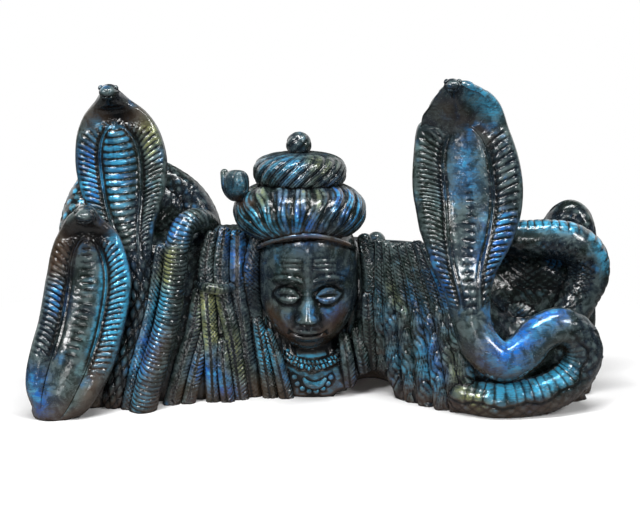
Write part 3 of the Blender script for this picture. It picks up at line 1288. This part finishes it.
def make_labradorite(material):
    """Nearly black stone, mottled, with flashes that break up along its crystals, and polished."""
    bench = nodes_of(material)
    here = bench.add("ShaderNodeTexCoord", output="Object")
    places = bench.add("ShaderNodeVectorMath", {"operation": "SCALE"}, {0: here, "Scale": 1000.0})
    gleam = bench.left_on_mesh("gleam", "Color")
    brown_place = bench.other(gleam, "Alpha")
    azure_place = bench.add("ShaderNodeSeparateColor", None, {0: gleam}, output=0)
    cyan_place = bench.other(azure_place, 1)
    gold_place = bench.other(azure_place, 2)
    names = ("height", "hollow", "shadow", "hair")
    height, hollow, shadow, hair = (bench.left_on_mesh(name) for name in names)

    cloud = bench.noise(places, 0.045, 3.0, 0.6)
    mottle = bench.noise(places, 0.17, 5.0, 0.65, 0.6)
    grain = bench.noise(places, 0.9, 3.0, 0.6)
    cells = {"Vector": places, "Scale": 0.24, "Randomness": 1.0}
    crystals = bench.add("ShaderNodeTexVoronoi", {"feature": "F1"}, cells, output="Color")
    crystal = bench.add("ShaderNodeSeparateColor", None, {0: crystals}, output=0)
    layers = {"Vector": places, "Rotation": (0.3, 0.5, 0.2), "Scale": (0.25, 0.9, 1.6)}
    lamella = bench.noise(bench.add("ShaderNodeMapping", None, layers), 0.9, 2.0, 0.6)

    stone = bench.blend(shade(0.012, 0.021, 0.017), shade(0.012, 0.021, 0.034), cloud.between(0.42, 0.6))
    stone = bench.blend(stone, shade(0.10, 0.14, 0.145), mottle.between(0.48, 0.7) * 0.8)
    stone = bench.blend(stone, shade(0.005, 0.007, 0.008), grain.between(0.54, 0.68) * 0.6)

    facing = bench.add("ShaderNodeNewGeometry", output="Normal")
    across = bench.add("ShaderNodeSeparateXYZ", None, {0: facing}, output=1)
    lit = across.reckon("ABSOLUTE", across) * 0.85 + bench.other(across, 2) * 0.5
    broken = (0.3 + 0.7 * mottle.between(0.42, 0.56)) * (0.5 + 0.5 * crystal)
    broken = broken * (0.4 + 0.6 * lamella.between(0.38, 0.58))
    raised = height.between(0.55, 1.0) * lit.between(0.1, 0.85)
    stray = bench.noise(places, 0.075, 3.0, 0.55).between(0.56, 0.7) * 0.35

    crest = height.between(0.7, 1.0) * lit.between(0.1, 0.9) * (0.2 + 0.8 * mottle.between(0.4, 0.6))
    stone = bench.blend(stone, shade(0.13, 0.18, 0.18), crest * 0.7)

    drift = bench.noise(places, 0.13, 2.0, 0.5)
    cyan_place = cyan_place * (1 - drift.between(0.6, 0.7) * 0.5)
    cyan_place = cyan_place + azure_place * drift.between(0.5, 0.6) * 0.7
    gold_place = gold_place + cyan_place * drift.between(0.6, 0.7) * 0.4

    azure = ((azure_place + stray * cloud.between(0.4, 0.6)) * broken * raised * 2.2).kept_in()
    cyan = ((cyan_place + stray * 0.5) * broken * raised * 2.3).kept_in()
    gold = ((gold_place + stray * (1 - cloud.between(0.4, 0.6)) * 0.5) * broken * raised * 2.0).kept_in()
    colour = bench.blend(stone, shade(0.015, 0.20, 0.75), azure)
    colour = bench.blend(colour, shade(0.08, 0.56, 0.92), cyan)
    colour = bench.blend(colour, shade(0.42, 0.44, 0.16), gold)
    brown = (brown_place * (0.35 + 0.9 * mottle)).kept_in()
    colour = bench.blend(colour, shade(0.12, 0.062, 0.032), brown * 0.85)
    speck = bench.noise(places, 1.7, 1.0, 0.5).between(0.68, 0.74) * 0.5
    colour = bench.blend(colour, shade(0.35, 0.42, 0.42), speck * (1 - brown))
    deep = (1 - height.between(0.1, 0.8)) * 0.9
    sunk = (deep + hollow.between(0.55, 0.9) * 0.6 + shadow * 0.85).kept_in()
    colour = bench.blend(colour, shade(0.004, 0.005, 0.006), sunk)

    flash = (azure + cyan + gold).kept_in()
    roughness = 0.1 + 0.08 * mottle + 0.06 * deep
    wave = bench.noise(places, 0.35, 2.0, 0.5) * 0.25 + grain * 0.1 + hair * lamella * 0.1
    dent = bench.add("ShaderNodeBump", None, {"Strength": 1.0, "Distance": 0.001, "Height": wave})
    values = {
        "Base Color": colour,
        "Roughness": roughness,
        "Metallic": flash * 0.25,
        "IOR": 1.5,
        "Coat Weight": 0.3 * height,
        "Coat Roughness": 0.03,
        "Normal": dent,
    }
    surface = bench.add("ShaderNodeBsdfPrincipled", None, values)
    bench.add("ShaderNodeOutputMaterial", None, {"Surface": surface})


def make_pale_floor(material):
    """A pale floor that fades out into the white room before its rim."""
    bench = nodes_of(material)
    here = bench.add("ShaderNodeTexCoord", output="Object")
    away = bench.add("ShaderNodeVectorMath", {"operation": "LENGTH"}, {0: here}, output="Value")
    eye = bench.add("ShaderNodeLightPath", output="Is Camera Ray")
    solid = (1 - away.between(0.55 * FLOOR_RADIUS, 0.95 * FLOOR_RADIUS)) * (0.25 + 0.75 * eye)
    values = {"Base Color": shade(0.9, 0.9, 0.9), "Roughness": 0.8, "Specular IOR Level": 0.1, "Alpha": solid}
    surface = bench.add("ShaderNodeBsdfPrincipled", None, values)
    bench.add("ShaderNodeOutputMaterial", None, {"Surface": surface})


# Studio


def aimed(thing, place, target):
    thing.location = place
    thing.rotation_euler = (Vector(target) - Vector(place)).to_track_quat("-Z", "Y").to_euler()


def soft_box(name, place, aim, width, height, power):
    light = bpy.data.lights.new(name, "AREA")
    light.shape = "RECTANGLE"
    light.size = width
    light.size_y = height
    light.energy = power
    aimed(shown(name, light), place, (0, 0, aim))


def white_room():
    """Shows the eye a white room, and lights the stone with a dim one, so that its polish stays dark."""
    world = bpy.data.worlds.new("white_room")
    bench = nodes_of(world)
    eye = bench.add("ShaderNodeLightPath", output="Is Camera Ray")
    values = {"Color": shade(1.0, 1.0, 1.0), "Strength": eye * (1 - ROOM_LIGHT) + ROOM_LIGHT}
    room = bench.add("ShaderNodeBackground", None, values)
    bench.add("ShaderNodeOutputWorld", None, {"Surface": room})
    bpy.context.scene.world = world
    bpy.context.scene.view_settings.view_transform = "Standard"


def pale_floor():
    turns = [2 * math.pi * step / FLOOR_SIDES for step in range(FLOOR_SIDES)]
    rim = [(FLOOR_RADIUS * math.cos(turn), FLOOR_RADIUS * math.sin(turn), 0) for turn in turns]
    mesh = bpy.data.meshes.new("floor")
    mesh.from_pydata(rim, [], [tuple(range(FLOOR_SIDES))])
    mesh.materials.append(bpy.data.materials.new("pale_floor"))
    make_pale_floor(mesh.materials[0])
    return shown("floor", mesh)


def studio():
    floor = pale_floor()
    white_room()
    for row in SOFT_BOXES:
        soft_box(*row)
    view = bpy.data.cameras.new("photo_view")
    view.sensor_width = 36
    view.lens = CAMERA_LENS
    view.clip_start = 0.01
    camera = shown("photo_view", view)
    aimed(camera, CAMERA_PLACE, CAMERA_AIM)
    bpy.context.scene.camera = camera


labradorite = bpy.data.materials.new("labradorite")
make_labradorite(labradorite)
stone = carve_stone(labradorite)
paint_places(stone.data)
stone.data.transform(Matrix.Scale(MM, 4))
stone.data.materials.clear()
stone.data.materials.append(labradorite)
stone.data.shade_smooth()
stone.data.set_sharp_from_angle(angle=SHARP_EDGE)
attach(stone, "root")
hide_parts("carving")
studio()
